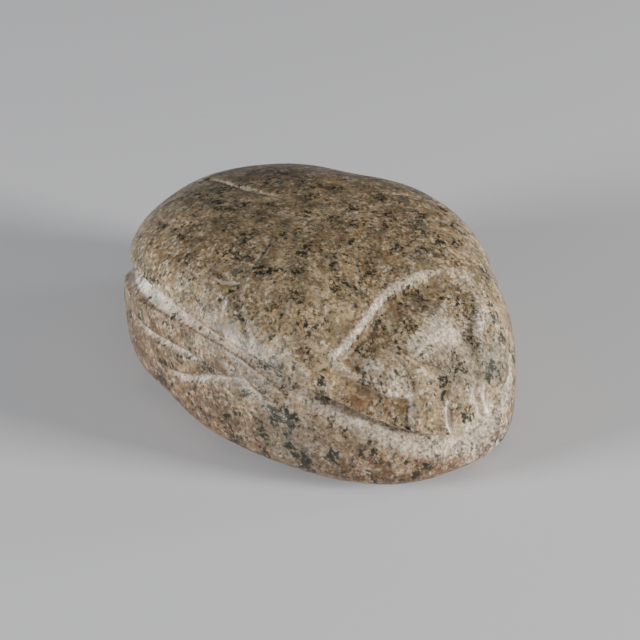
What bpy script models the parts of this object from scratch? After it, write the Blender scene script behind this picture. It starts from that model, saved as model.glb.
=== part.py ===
"""Scarab amulet: one piece of hard stone, carved as a beetle on a thick rounded base.

The stone is first a smooth pebble with a flat underside. The carving is then taken off along
the pebble's normals: the waist groove with its cove under the head, the sunk head plate, the
cheeks, and the lines of the thorax, wing cases and legs. +X points to the head and +Z up, and
the origin is on the underside. All sizes are in millimetres.
"""

import math

import bmesh
import bpy
import numpy as np

MM = 0.001

# The pebble
STONE_LENGTH = 56.0
STONE_WIDTH = 39.2
STONE_HEIGHT = 21.0
FRONT_WIDEST_HEIGHT = 3.2
REAR_WIDEST_HEIGHT = 9.0
CROWN_OFFSET = 3.1
FRONT_ROUNDNESS = 0.95
REAR_ROUNDNESS = 1.085
TAPER = -0.066
BACK_ROUNDNESS = {"front": 1.05, "side": 0.58, "rear": 0.82}
BASE_ROUNDNESS = {"front": 0.70, "side": 0.72, "rear": 0.62}
FOOT_SHARE = 0.60
UNCUT_HEIGHT = 1.5

# The waist groove: its upper edge is lowest under the head, which is turned a little to one side
FRONT_WAIST_HEIGHT = 6.6
SIDE_WAIST_HEIGHT = 15.3
REAR_WAIST_HEIGHT = 7.5
WAIST_BOW = 1.5
HEAD_TURN = math.radians(5.0)
NECK_ANGLE = math.radians(72.0)
WAIST_LIP_WIDTH = 0.4
GROOVE_WIDTH = 3.9
GROOVE_DEPTH = 2.0
GROOVE_ROUNDNESS = 0.65
NECK_WIDTH = 0.6
NECK_DEPTH = 0.3
COVE_WIDTH = 4.2
COVE_DEPTH = 1.9
COVE_ROUNDNESS = 1.7
COVE_SPREAD = math.radians(45.0)
GROOVE_START = math.radians(72.0)
GROOVE_SPREAD = math.radians(66.0)

# The head
ARCH_STEP_WIDTH = 1.0
ARCH_DEPTH = 1.15
FAR_ARCH_DEPTH = 0.35
FAR_ARCH_START = 0.20
FAR_ARCH_SPAN = 0.25
PLATE_RISE_LENGTH = 5.0
CREST_DEPTH = 0.15
CLYPEUS_LENGTH = 9.0
CLYPEUS_DEPTH = 0.6
CHEEK_STEP_WIDTH = 0.8
CHEEK_DEPTH = 1.0
FAR_CHEEK_DEPTH = 0.6
CHEEK_FALL_LENGTH = 5.5
CHEEK_START = 0.69
CHEEK_START_SPAN = 0.10
HEAD_START = 0.20
HEAD_START_SPAN = 0.03
FACE_TILT = math.radians(45.0)

# Flats that the grinding left: their middles, as shares like the points below, and their depths
SWELL_DEPTH = 0.12
SWELL_LENGTH = 26.0
FLAT_RADIUS = 5.0
FLATS = (
    ((0.732, 0.674, 0.370), 0.24),
    ((0.970, 0.055, 0.067), 0.36),
    ((0.801, -0.518, 0.066), 0.12),
    ((-0.094, -0.953, 0.108), 0.48),
    ((-0.583, -0.817, 0.292), 0.31),
    ((-0.810, -0.326, 0.705), 0.30),
    ((-0.421, 0.635, 0.857), 0.40),
    ((0.046, 0.843, 0.854), 0.10),
    ((0.477, 0.822, 0.651), 0.50),
)

# The mesh: rings and columns of the carved grid, and the faces that are left of it
COLUMNS = 480
UNDERSIDE_RINGS = 10
SIDE_RINGS = 40
COVE_RINGS = 24
LIP_RINGS = 3
BACK_RINGS = 100
FRONT_CROWDING = 0.25
COLUMN_SAMPLES = 420
TRIANGLES = 9600

# Points on the stone, as shares of half its length, half its width and its height
HEAD_ARCH = (
    (0.671, -0.534, 0.743),
    (0.662, -0.402, 0.803),
    (0.625, -0.268, 0.851),
    (0.549, -0.070, 0.897),
    (0.522, 0.150, 0.912),
    (0.528, 0.352, 0.904),
    (0.560, 0.445, 0.870),
    (0.620, 0.470, 0.820),
    (0.683, 0.437, 0.774),
    (0.737, 0.396, 0.731),
)
HEAD_RIGHT_SIDE = (
    (0.799, 0.335, 0.682),
    (0.859, 0.304, 0.599),
    (0.915, 0.250, 0.522),
    (0.956, 0.200, 0.434),
    (0.985, 0.215, 0.300),
)
HEAD_LEFT_SIDE = (
    (0.975, -0.235, 0.360),
    (0.935, -0.225, 0.480),
    (0.902, -0.223, 0.552),
    (0.859, -0.331, 0.587),
    (0.809, -0.408, 0.633),
    (0.759, -0.475, 0.668),
    (0.688, -0.534, 0.724),
)
NEAR_CHEEK = (
    (0.690, -0.550, 0.712),
    (0.759, -0.475, 0.668),
    (0.809, -0.408, 0.633),
    (0.859, -0.331, 0.587),
    (0.902, -0.225, 0.552),
    (0.952, -0.235, 0.420),
    (0.965, -0.250, 0.370),
    (0.890, -0.450, 0.420),
    (0.800, -0.590, 0.480),
    (0.738, -0.625, 0.560),
    (0.705, -0.600, 0.655),
)
FAR_CHEEK = (
    (0.640, 0.490, 0.790),
    (0.720, 0.440, 0.735),
    (0.799, 0.350, 0.682),
    (0.859, 0.315, 0.600),
    (0.915, 0.265, 0.522),
    (0.965, 0.215, 0.400),
    (0.960, 0.300, 0.350),
    (0.900, 0.450, 0.440),
    (0.820, 0.560, 0.530),
    (0.720, 0.600, 0.640),
    (0.650, 0.570, 0.740),
)
STROKES = {
    "middle line": {"width": 0.45, "depth": 0.32, "points": (
        (-0.80, -0.150, 0.760), (-0.644, -0.130, 0.866), (-0.485, -0.135, 0.928), (-0.363, -0.117, 0.960),
        (-0.250, -0.056, 0.980))},
    "near thorax line": {"width": 0.40, "depth": 0.20, "points": (
        (0.008, -0.293, 0.996), (0.101, -0.421, 0.989), (0.195, -0.626, 0.949), (0.222, -0.696, 0.919),
        (0.267, -0.758, 0.876), (0.334, -0.792, 0.822), (0.383, -0.811, 0.771), (0.440, -0.824, 0.699))},
    "far thorax line": {"width": 0.40, "depth": 0.20, "points": (
        (-0.046, 0.404, 0.987), (-0.016, 0.551, 0.970), (0.024, 0.673, 0.942), (0.120, 0.790, 0.870),
        (0.260, 0.850, 0.760))},
    "shoulder wedge": {"width": 0.45, "depth": 0.22, "mirrored": True, "points": (
        (0.054, -0.741, 0.916), (0.120, -0.735, 0.916), (0.174, -0.727, 0.914))},
    "shoulder upright": {"width": 0.40, "depth": 0.18, "mirrored": True, "points": (
        (0.049, -0.755, 0.910), (0.129, -0.831, 0.857), (0.176, -0.859, 0.820))},
    "shoulder stroke": {"width": 0.40, "depth": 0.18, "mirrored": True, "points": (
        (0.206, -0.783, 0.876), (0.235, -0.847, 0.813), (0.256, -0.875, 0.768))},
    "upper hind leg": {"width": 0.65, "depth": 0.55, "mirrored": True, "points": (
        (-0.346, -0.944, 0.445), (-0.217, -0.982, 0.443), (-0.104, -0.997, 0.465), (0.030, -0.995, 0.497),
        (0.170, -0.974, 0.520), (0.248, -0.954, 0.525))},
    "lower hind leg": {"width": 0.65, "depth": 0.55, "mirrored": True, "points": (
        (-0.080, -1.000, 0.300), (0.027, -0.998, 0.328), (0.120, -0.987, 0.366), (0.235, -0.962, 0.441),
        (0.308, -0.937, 0.484), (0.400, -0.896, 0.530))},
    "middle leg": {"width": 0.50, "depth": 0.40, "mirrored": True, "points": (
        (0.325, -0.915, 0.607), (0.377, -0.901, 0.564), (0.445, -0.875, 0.519), (0.532, -0.831, 0.452),
        (0.614, -0.776, 0.396), (0.686, -0.718, 0.348))},
    "middle leg foot": {"width": 0.90, "depth": 0.30, "mirrored": True, "points": (
        (0.640, -0.760, 0.360), (0.759, -0.645, 0.275), (0.843, -0.539, 0.245))},
    "fore leg": {"width": 0.55, "depth": 0.40, "mirrored": True, "points": (
        (0.590, -0.785, 0.487), (0.639, -0.753, 0.447), (0.690, -0.712, 0.390))},
    "near clypeus notch": {"width": 0.55, "depth": 0.45, "points": (
        (0.895, -0.226, 0.565), (0.920, -0.225, 0.507), (0.945, -0.224, 0.450))},
    "middle clypeus notch": {"width": 0.45, "depth": 0.55, "points": (
        (0.948, -0.008, 0.495), (0.972, -0.020, 0.420), (0.993, -0.037, 0.345))},
    "far clypeus notch": {"width": 0.55, "depth": 0.50, "points": (
        (0.935, 0.178, 0.500), (0.960, 0.190, 0.415), (0.980, 0.200, 0.335))},
    "near cheek line": {"width": 0.45, "depth": 0.25, "points": (
        (0.722, -0.255, 0.775), (0.793, -0.203, 0.711), (0.864, -0.188, 0.623), (0.906, -0.204, 0.550))},
}


def smooth(value):
    """An eased step from 0 to 1."""
    share = np.clip(value, 0.0, 1.0)
    return share * share * (3.0 - 2.0 * share)


def signed_power(value, exponent):
    return np.sign(value) * np.abs(value) ** exponent


def around(angle, front, side, rear):
    """A value that changes smoothly from the front over the sides to the rear."""
    along = np.cos(angle)
    end = np.where(along > 0.0, front, rear)
    return side + (end - side) * along**2


def widest_outline(angle):
    """The pebble's widest outline, seen from above."""
    along, across = np.cos(angle), np.sin(angle)
    roundness = REAR_ROUNDNESS + (FRONT_ROUNDNESS - REAR_ROUNDNESS) * (0.5 + 0.5 * along)
    x_share = signed_power(along, roundness)
    y_share = signed_power(across, roundness) * (1.0 + TAPER * x_share)
    return x_share * STONE_LENGTH / 2, y_share * STONE_WIDTH / 2


def pebble(angle, rise):
    """The smooth stone: rise runs -2 to -1 over the underside, to 0 at the widest, to 1 at the crown."""
    out_x, out_y = widest_outline(angle)
    middle = (FRONT_WIDEST_HEIGHT + REAR_WIDEST_HEIGHT) / 2
    widest = middle + (FRONT_WIDEST_HEIGHT - middle) * out_x / (STONE_LENGTH / 2)
    turn = np.clip(np.abs(rise), 0.0, 1.0) * math.pi / 2
    back = around(angle, **BACK_ROUNDNESS)
    base = around(angle, **BASE_ROUNDNESS)
    above = rise > 0.0
    inward = np.cos(turn) ** np.where(above, back, base)
    upward = np.sin(turn) ** np.where(above, back, base)
    reach = np.where(above, inward, FOOT_SHARE + (1.0 - FOOT_SHARE) * inward)
    reach = np.where(rise < -1.0, FOOT_SHARE * (rise + 2.0), reach)
    height = np.where(above, widest + (STONE_HEIGHT - widest) * upward, widest * (1.0 - upward))
    height = np.where(rise < -1.0, 0.0, height)
    forward = np.where(above, CROWN_OFFSET * upward, 0.0)
    return np.stack([out_x * reach + forward, out_y * reach, height], axis=-1)


def waist_height(angle):
    """The height of the waist groove's upper edge."""
    turned = np.where(np.cos(angle) > 0.0, angle - HEAD_TURN * np.cos(angle) ** 2, angle)
    bow = (np.sin(turned) ** 2 + 0.003) ** (WAIST_BOW / 2)
    end = np.where(np.cos(turned) > 0.0, FRONT_WAIST_HEIGHT, REAR_WAIST_HEIGHT)
    return end + (SIDE_WAIST_HEIGHT - end) * bow


def along_waist(angle, cove, neck, groove):
    """A value that goes from the cove under the head over the narrow neck to the groove behind."""
    turn = np.abs((angle + math.pi) % (2 * math.pi) - math.pi)
    ahead = smooth((NECK_ANGLE - turn) / COVE_SPREAD)
    behind = smooth((turn - GROOVE_START) / GROOVE_SPREAD)
    return neck + (cove - neck) * ahead + (groove - neck) * behind


def waist_width(angle):
    """The width of the groove below its edge."""
    return along_waist(angle, COVE_WIDTH, NECK_WIDTH, GROOVE_WIDTH)


def surface_grid():
    """The pebble's points on a grid of rings and columns, and each point's way above the waist's edge."""
    turns = np.arange(COLUMNS) * 2 * math.pi / COLUMNS
    angles = turns - FRONT_CROWDING * np.sin(turns)
    rises = np.linspace(-2.0, 1.0, COLUMN_SAMPLES)
    stops = np.cumsum([0, UNDERSIDE_RINGS, SIDE_RINGS, COVE_RINGS, LIP_RINGS, BACK_RINGS])
    ring_numbers = np.arange(stops[-1] + 1)
    points = np.empty((len(ring_numbers), COLUMNS, 3))
    ways = np.empty((len(ring_numbers), COLUMNS))
    for column, angle in enumerate(angles):
        samples = pebble(angle, rises)
        steps = np.linalg.norm(np.diff(samples, axis=0), axis=1)
        lengths = np.concatenate([[0.0], np.cumsum(steps)])
        foot = np.interp(-1.0, rises, lengths)
        upper = rises >= 0.0
        edge = np.interp(waist_height(angle), samples[upper, 2], lengths[upper])
        bottom = edge - WAIST_LIP_WIDTH - waist_width(angle)
        marks = [0.0, foot, bottom, edge - WAIST_LIP_WIDTH, edge, lengths[-1]]
        ring_lengths = np.interp(ring_numbers, stops, marks)
        points[:, column] = pebble(angle, np.interp(ring_lengths, lengths, rises))
        ways[:, column] = ring_lengths - edge
    return angles, points, ways


def grid_normals(points):
    """The outward normals of a grid that closes round its columns."""
    along = np.roll(points, -1, axis=1) - np.roll(points, 1, axis=1)
    upward = np.gradient(points, axis=0)
    normals = np.cross(along, upward)
    normals[0] = (0.0, 0.0, -1.0)
    normals[-1] = (0.0, 0.0, 1.0)
    return normals / np.linalg.norm(normals, axis=-1, keepdims=True)


def placed(shares, side=1.0):
    """Points given in shares of the stone, in millimetres, on the near side or mirrored to the far one."""
    return np.array(shares) * (STONE_LENGTH / 2, side * STONE_WIDTH / 2, STONE_HEIGHT)


def curve(points, closed=False, steps=6):
    """A smooth curve through the points."""
    points = np.asarray(points, dtype=float)
    if closed:
        padded = np.vstack([points[-1:], points, points[:2]])
    else:
        padded = np.vstack([2 * points[0] - points[1], points, 2 * points[-1] - points[-2]])
    result = []
    for p0, p1, p2, p3 in zip(padded, padded[1:], padded[2:], padded[3:]):
        for step in range(steps):
            t = step / steps
            result.append(0.5 * (2 * p1 + (p2 - p0) * t + (2 * p0 - 5 * p1 + 4 * p2 - p3) * t**2
                                 + (3 * p1 - p0 - 3 * p2 + p3) * t**3))
    if not closed:
        result.append(points[-1])
    return np.array(result)


def stroke_depth(points, normals, path, width, depth):
    """The depth of one groove that thins out at both ends, measured across the surface."""
    lengths = np.concatenate([[0.0], np.cumsum(np.linalg.norm(np.diff(path, axis=0), axis=1))])
    nearest = np.full(points.shape[:-1], np.inf)
    thickness = np.zeros(points.shape[:-1])
    for start, end, so_far, after in zip(path, path[1:], lengths, lengths[1:]):
        leg = end - start
        share = np.clip((points - start) @ leg / (leg @ leg), 0.0, 1.0)
        offset = points - start - share[..., None] * leg
        outward = np.sum(offset * normals, axis=-1, keepdims=True)
        away = np.linalg.norm(offset - 0.8 * outward * normals, axis=-1)
        position = (so_far + share * (after - so_far)) / lengths[-1]
        ends = np.sqrt(smooth(position / 0.3) * smooth((1.0 - position) / 0.3))
        thickness = np.where(away < nearest, 0.25 + 0.75 * ends, thickness)
        nearest = np.minimum(nearest, away)
    return depth * thickness * smooth(1.1 - nearest / (width * thickness))


def path_distance(places, path):
    """The distance of places on the drawing plane from a path."""
    nearest = np.full(places.shape[:-1], np.inf)
    for start, end in zip(path, path[1:]):
        leg = end - start
        share = np.clip((places - start) @ leg / max(leg @ leg, 1e-9), 0.0, 1.0)
        offset = places - start - share[..., None] * leg
        nearest = np.minimum(nearest, np.linalg.norm(offset, axis=-1))
    return nearest


def on_face(points):
    """A place on the drawing plane of the head, which leans back by the face's tilt."""
    up = points[..., 2] * math.cos(FACE_TILT) - points[..., 0] * math.sin(FACE_TILT)
    return np.stack([points[..., 1], up], axis=-1)


def inside_distance(places, loop):
    """How far places lie inside a closed loop, negative outside it."""
    crossings = np.zeros(places.shape[:-1], dtype=int)
    for start, end in zip(loop, np.roll(loop, -1, axis=0)):
        leg = end - start
        spans = (places[..., 1] >= start[1]) != (places[..., 1] >= end[1])
        rise = leg[1] if abs(leg[1]) > 1e-9 else 1e-9
        crossing = start[0] + (places[..., 1] - start[1]) * leg[0] / rise
        crossings += spans & (places[..., 0] < crossing)
    nearest = path_distance(places, np.vstack([loop, loop[:1]]))
    return np.where(crossings % 2 == 1, nearest, -nearest)


def waist_depth(angles, ways):
    """The waist groove: steep under its edge and rising gently to its lower lip."""
    width = waist_width(angles)
    depth = along_waist(angles, COVE_DEPTH, NECK_DEPTH, GROOVE_DEPTH)
    under = smooth(-ways / WAIST_LIP_WIDTH)
    rising = np.clip(1.0 + (ways + WAIST_LIP_WIDTH) / width, 0.0, 1.0)
    return depth * under * rising ** along_waist(angles, COVE_ROUNDNESS, GROOVE_ROUNDNESS, GROOVE_ROUNDNESS)


def head_depth(points):
    """The sunk head plate inside its arch, and the cheeks beside the clypeus."""
    places = on_face(points)
    outline = np.vstack([curve(placed(HEAD_ARCH)), placed(HEAD_RIGHT_SIDE), placed(HEAD_LEFT_SIDE)])
    inside = inside_distance(places, on_face(outline))
    behind = path_distance(places, on_face(curve(placed(HEAD_ARCH))))
    rise = smooth((behind - ARCH_STEP_WIDTH) / PLATE_RISE_LENGTH)
    front = smooth((behind - ARCH_STEP_WIDTH - PLATE_RISE_LENGTH) / CLYPEUS_LENGTH)
    far_share = smooth((points[..., 1] / (STONE_WIDTH / 2) - FAR_ARCH_START) / FAR_ARCH_SPAN)
    arch = ARCH_DEPTH + (FAR_ARCH_DEPTH - ARCH_DEPTH) * far_share
    hollow = arch + (CREST_DEPTH - arch) * rise + (CLYPEUS_DEPTH - CREST_DEPTH) * front
    depth = hollow * smooth(inside / ARCH_STEP_WIDTH)
    for loop, deep in ((NEAR_CHEEK, CHEEK_DEPTH), (FAR_CHEEK, FAR_CHEEK_DEPTH)):
        inside = inside_distance(places, on_face(curve(placed(loop), closed=True)))
        fall = 1.0 - smooth(path_distance(places, on_face(outline)) / CHEEK_FALL_LENGTH)
        start = smooth((points[..., 0] / (STONE_LENGTH / 2) - CHEEK_START) / CHEEK_START_SPAN)
        depth = np.maximum(depth, deep * fall * start * smooth(inside / CHEEK_STEP_WIDTH))
    return depth * smooth((points[..., 0] / STONE_LENGTH - HEAD_START) / HEAD_START_SPAN)


def carved_depth(angles, points, ways, normals):
    """How much stone is taken off at every point of the grid."""
    waist = waist_depth(np.broadcast_to(angles, ways.shape), ways)
    above_lip = smooth(1.0 + ways / WAIST_LIP_WIDTH)
    depth = np.maximum(waist, head_depth(points) * above_lip)
    for stroke in STROKES.values():
        sides = (1.0, -1.0) if stroke.get("mirrored") else (1.0,)
        for side in sides:
            path = curve(placed(stroke["points"], side))
            depth = depth + stroke_depth(points, normals, path, stroke["width"], stroke["depth"])
    return depth


def ground_depth(points):
    """The slight unevenness that grinding by hand leaves."""
    x, y, z = np.moveaxis(points * 2 * math.pi / SWELL_LENGTH, -1, 0)
    depth = SWELL_DEPTH * np.sin(0.9 * x + 0.7 * y + 4.4) * np.sin(0.7 * y - z + 0.4)
    for middle, flat_depth in FLATS:
        away = np.linalg.norm(points - placed(middle), axis=-1)
        depth = depth + flat_depth * np.exp(-(away / FLAT_RADIUS) ** 2)
    return depth


def carved_grid():
    """The carved stone's points, ring by ring from the underside's middle to the crown."""
    angles, points, ways = surface_grid()
    normals = grid_normals(points)
    above_floor = smooth(points[..., 2] / UNCUT_HEIGHT)
    taken = carved_depth(angles, points, ways, normals) + ground_depth(points)
    carved = points - normals * (taken * above_floor)[..., None]
    carved[0] = carved[0].mean(axis=0)
    carved[-1] = carved[-1].mean(axis=0)
    centre = (carved.max(axis=(0, 1)) + carved.min(axis=(0, 1))) / 2
    return carved - (centre[0], centre[1], carved[..., 2].min())


def stone_material():
    material = bpy.data.materials.new("speckled stone")
    material.use_nodes = True
    shader = material.node_tree.nodes["Principled BSDF"]
    shader.inputs["Base Color"].default_value = (0.23, 0.17, 0.12, 1.0)
    shader.inputs["Roughness"].default_value = 0.42
    shader.inputs["Metallic"].default_value = 0.0
    return material


def add_scarab(collection):
    """A sphere whose points are moved to the carved grid, thinned to fewer faces where it is smooth."""
    grid = carved_grid()
    rings = len(grid) - 1
    shape = bmesh.new()
    bmesh.ops.create_uvsphere(shape, u_segments=COLUMNS, v_segments=rings, radius=1.0)
    for vertex in shape.verts:
        x, y, z = vertex.co
        ring = round((math.asin(max(-1.0, min(1.0, z))) / math.pi + 0.5) * rings)
        column = round(math.atan2(y, x) / (2 * math.pi) * COLUMNS) % COLUMNS
        vertex.co = grid[ring, column] * MM
    bmesh.ops.triangulate(shape, faces=shape.faces)
    bmesh.ops.recalc_face_normals(shape, faces=shape.faces)
    mesh = bpy.data.meshes.new("scarab")
    shape.to_mesh(mesh)
    shape.free()
    mesh.shade_smooth()
    mesh.materials.append(stone_material())
    scarab = bpy.data.objects.new("scarab", mesh)
    collection.objects.link(scarab)
    thinning = scarab.modifiers.new("thinning", "DECIMATE")
    thinning.ratio = TRIANGLES / len(mesh.polygons)
    return scarab


def main():
    for item in list(bpy.data.objects):
        bpy.data.objects.remove(item, do_unlink=True)
    collection = bpy.data.collections.new("scarab amulet")
    bpy.context.scene.collection.children.link(collection)
    add_scarab(collection)


main()
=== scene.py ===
"""Scarab amulet: the carved and polished stone, its fine relief and its speckled finish.

The stone is carved as in the part's source, on a finer grid and with the small tool marks, then it
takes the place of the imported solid. The marks also leave masks on the mesh, which the stone's
material reads. Sizes of the carving are in millimetres, and the scene is in metres.
"""

import math

import bpy
import numpy as np
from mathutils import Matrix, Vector, noise


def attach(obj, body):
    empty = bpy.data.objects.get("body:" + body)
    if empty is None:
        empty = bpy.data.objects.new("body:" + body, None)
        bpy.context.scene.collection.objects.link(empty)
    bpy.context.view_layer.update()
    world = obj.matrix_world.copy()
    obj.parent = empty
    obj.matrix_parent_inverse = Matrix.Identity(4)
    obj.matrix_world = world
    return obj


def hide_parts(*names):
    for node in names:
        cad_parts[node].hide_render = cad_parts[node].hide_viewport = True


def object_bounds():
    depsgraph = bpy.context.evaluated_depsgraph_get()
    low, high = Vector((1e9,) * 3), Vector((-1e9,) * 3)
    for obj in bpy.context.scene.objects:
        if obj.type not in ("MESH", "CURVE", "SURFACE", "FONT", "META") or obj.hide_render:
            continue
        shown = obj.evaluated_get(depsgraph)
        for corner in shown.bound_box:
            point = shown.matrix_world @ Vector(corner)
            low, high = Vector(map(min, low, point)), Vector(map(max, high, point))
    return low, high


MM = 0.001

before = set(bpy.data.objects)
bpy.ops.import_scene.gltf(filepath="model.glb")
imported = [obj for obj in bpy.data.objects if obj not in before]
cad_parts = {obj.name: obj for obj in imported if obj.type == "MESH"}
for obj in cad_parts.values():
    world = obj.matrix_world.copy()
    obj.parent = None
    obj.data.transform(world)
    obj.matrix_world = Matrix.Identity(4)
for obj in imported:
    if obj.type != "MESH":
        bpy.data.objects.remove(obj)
cad_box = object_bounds()

# The pebble
STONE_LENGTH = 56.0
STONE_WIDTH = 39.2
STONE_HEIGHT = 21.0
FRONT_WIDEST_HEIGHT = 3.2
REAR_WIDEST_HEIGHT = 9.0
CROWN_OFFSET = 3.1
FRONT_ROUNDNESS = 0.95
REAR_ROUNDNESS = 1.085
TAPER = -0.066
BACK_ROUNDNESS = {"front": 1.05, "side": 0.58, "rear": 0.82}
BASE_ROUNDNESS = {"front": 0.70, "side": 0.72, "rear": 0.62}
FOOT_SHARE = 0.60
UNCUT_HEIGHT = 1.5

# The waist groove: its upper edge is lowest under the head, which is turned a little to one side
FRONT_WAIST_HEIGHT = 6.6
SIDE_WAIST_HEIGHT = 15.3
REAR_WAIST_HEIGHT = 7.5
WAIST_BOW = 1.5
HEAD_TURN = math.radians(5.0)
NECK_ANGLE = math.radians(72.0)
WAIST_LIP_WIDTH = 0.4
GROOVE_WIDTH = 3.9
GROOVE_DEPTH = 2.0
GROOVE_ROUNDNESS = 0.65
NECK_WIDTH = 0.6
NECK_DEPTH = 0.3
COVE_WIDTH = 4.2
COVE_DEPTH = 1.9
COVE_ROUNDNESS = 1.7
COVE_SPREAD = math.radians(45.0)
GROOVE_START = math.radians(72.0)
GROOVE_SPREAD = math.radians(66.0)

# The head
ARCH_STEP_WIDTH = 1.0
ARCH_DEPTH = 1.15
FAR_ARCH_DEPTH = 0.35
FAR_ARCH_START = 0.20
FAR_ARCH_SPAN = 0.25
PLATE_RISE_LENGTH = 5.0
CREST_DEPTH = 0.15
CLYPEUS_LENGTH = 9.0
CLYPEUS_DEPTH = 0.6
CHEEK_STEP_WIDTH = 0.8
CHEEK_DEPTH = 1.0
FAR_CHEEK_DEPTH = 0.6
CHEEK_FALL_LENGTH = 5.5
CHEEK_START = 0.69
CHEEK_START_SPAN = 0.10
HEAD_START = 0.20
HEAD_START_SPAN = 0.03
FACE_TILT = math.radians(45.0)

# Flats that the grinding left: their middles, as shares like the points below, and their depths
SWELL_DEPTH = 0.12
SWELL_LENGTH = 26.0
FLAT_RADIUS = 5.0
FLATS = (
    ((0.732, 0.674, 0.370), 0.24),
    ((0.970, 0.055, 0.067), 0.36),
    ((0.801, -0.518, 0.066), 0.12),
    ((-0.094, -0.953, 0.108), 0.48),
    ((-0.583, -0.817, 0.292), 0.31),
    ((-0.810, -0.326, 0.705), 0.30),
    ((-0.421, 0.635, 0.857), 0.40),
    ((0.046, 0.843, 0.854), 0.10),
    ((0.477, 0.822, 0.651), 0.50),
)

COLUMNS = 520
UNDERSIDE_RINGS = 8
SIDE_RINGS = 46
COVE_RINGS = 26
LIP_RINGS = 4
BACK_RINGS = 94
FRONT_CROWDING = 0.25
COLUMN_SAMPLES = 420

# Fine relief, in millimetres, with how much of the noise makes a chip or a pit
PIT_SIZE = 1.1
PIT_DEPTH = 0.06
PIT_START = 0.42
PIT_SPAN = 0.25
CHIP_SIZE = 1.5
CHIP_DEPTH = 0.22
CHIP_START = 0.12
CHIP_SPAN = 0.30
RIPPLE_SIZE = 2.5
RIPPLE_DEPTH = 0.03
GRAIN_DEPTH = 0.03

# Where the stone is worn and whitened, where shade and dirt are painted into hollows and cuts, and how the
# base darkens towards the bottom: strengths are shares, and reaches are in millimetres
EDGE_BLURS = 5
EDGE_RISE = 0.12
EDGE_WEAR = 0.40
EDGE_REACH = 1.2
ARCH_BAND = 0.45
ARCH_WEAR = 0.45
FAR_ARCH_WEAR = 0.30
BRUISE_SPREAD = 0.85
BRUISE_GAIN = 1.4
MARK_BRUISE = 0.4
# Painted shade and dirt inside the cuts
STROKE_SHADE_AND_DIRT = 0.7
FULL_SHADE_AND_DIRT_DEPTH = 0.2
# The base, which is tinted darker towards the bottom
BASE_FADE = 2.0
LOW_HEIGHT = 8.0
LOW_START = 1.3
LEAST_LOW_SHARE = 0.4
FILM_DEPTH_SHARE = 0.4
FACET_FADE = 0.12
FACET_START = {"cove": 0.0, "neck": 0.0, "groove": 0.42}
GROOVE_FILM = {"cove": 0.76, "neck": 0.45, "groove": 0.45}
LIP_CALM = {"cove": 0.9, "neck": 0.6, "groove": 0.0}
# Painted shade and dirt in a line along the facet's lower edge
SEAM_SHADE_AND_DIRT = {"cove": 0.15, "neck": 0.5, "groove": 1.0}
SEAM_WIDTH = 0.30
FRESH_ANGLE = math.radians(-119.0)
FRESH_SPREAD = math.radians(23.0)

# Camera: angles in degrees, lengths in metres, lens in millimetres
CAMERA_AZIMUTH = 57.0
CAMERA_ELEVATION = 31.6
CAMERA_DISTANCE = 0.380
CAMERA_LENS = 185.8
AIM_RIGHT = 0.0003
AIM_UP = 0.0063

# The room: turns from the camera's side and heights in degrees, lengths in metres
FLOOR_REACH = 1.5
FLOOR_COLOUR = (0.72, 0.72, 0.73)
ROOM_COLOUR = (0.95, 0.97, 1.0, 1.0)
ROOM_STRENGTH = 0.095
LIGHTS = (
    {"name": "right light", "turn": 70.0, "height": 12.0, "distance": 0.55, "size": 0.15, "power": 5.8,
     "colour": (1.0, 0.99, 0.98), "seen_in_gloss": False},
    {"name": "rim light", "turn": 104.0, "height": 14.0, "distance": 0.55, "size": 0.12, "power": 0.6,
     "colour": (1.0, 1.0, 1.0)},
    {"name": "left light", "turn": -66.0, "height": 12.0, "distance": 0.60, "size": 0.20, "power": 5.3,
     "colour": (0.95, 0.97, 1.0)},
    {"name": "top light", "turn": 20.0, "height": 62.0, "distance": 0.60, "size": 0.40, "power": 0.25,
     "colour": (1.0, 1.0, 1.0)},
)

# The stone's colours
TAN = (0.345, 0.245, 0.132, 1.0)
OLIVE_BROWN = (0.118, 0.080, 0.040, 1.0)
WARM_GREY = (0.24, 0.188, 0.125, 1.0)
PALE_GRAIN = (0.50, 0.41, 0.29, 1.0)
OCHRE = (0.23, 0.152, 0.070, 1.0)
RUST = (0.15, 0.067, 0.030, 1.0)
# Brown for dirt and for painted shade, in hollows, in cuts and along the seam
DIRT_AND_SHADE_BROWN = (0.12, 0.075, 0.040, 1.0)
OLIVE_GREY = (0.15, 0.135, 0.095, 1.0)
DARK_GREEN = (0.014, 0.018, 0.012, 1.0)
WHITENED = (0.62, 0.545, 0.455, 1.0)
# White of fresh cuts, also used for the painted highlights in two notches of the clypeus
FRESH_CUT_AND_GLINT = (0.78, 0.69, 0.595, 1.0)
PALE_TAN = (0.46, 0.37, 0.265, 1.0)
# Tint of the base, strongest towards the bottom, so that the base is darker there
BASE_TINT = (0.66, 0.58, 0.56, 1.0)

# Sizes of the grains and patches in the stone, in millimetres
BROAD_SIZE = 6.0
MIDDLING_SIZE = 1.5
FINE_SIZE = 0.36
GREY_GRAIN_SIZE = 0.34
PALE_GRAIN_SIZE = 0.48
RUSTY_GRAIN_SIZE = 0.75
SPECK_SIZE = 0.34
OLIVE_PATCH_SIZE = 1.7
OCHRE_PATCH_SIZE = 1.8
CLUSTER_SPACING = 2.2
CLUSTER_SIZE = 0.62
FILM_PATCH_SIZE = 0.7
MOTTLING_SIZE = 2.6

# How ragged a grain is, in grains, and how softly it ends
GRAIN_RAG_SCALE = 1.9
GRAIN_RAGGEDNESS = 2.0
GRAIN_RIM = 0.18
SPECK_FILL = 0.42

# How many of the grains are picked, and how many more where a mask is full
PALE_CROWDING = 0.19
RUSTY_CROWDING = 0.03
SPECK_CROWDING = 0.13
BASE_LIGHT_CROWDING = 0.05
BASE_DARK_CROWDING = 0.035
RUST_CROWDING = 0.45
GREEN_CROWDING = 0.07

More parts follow.
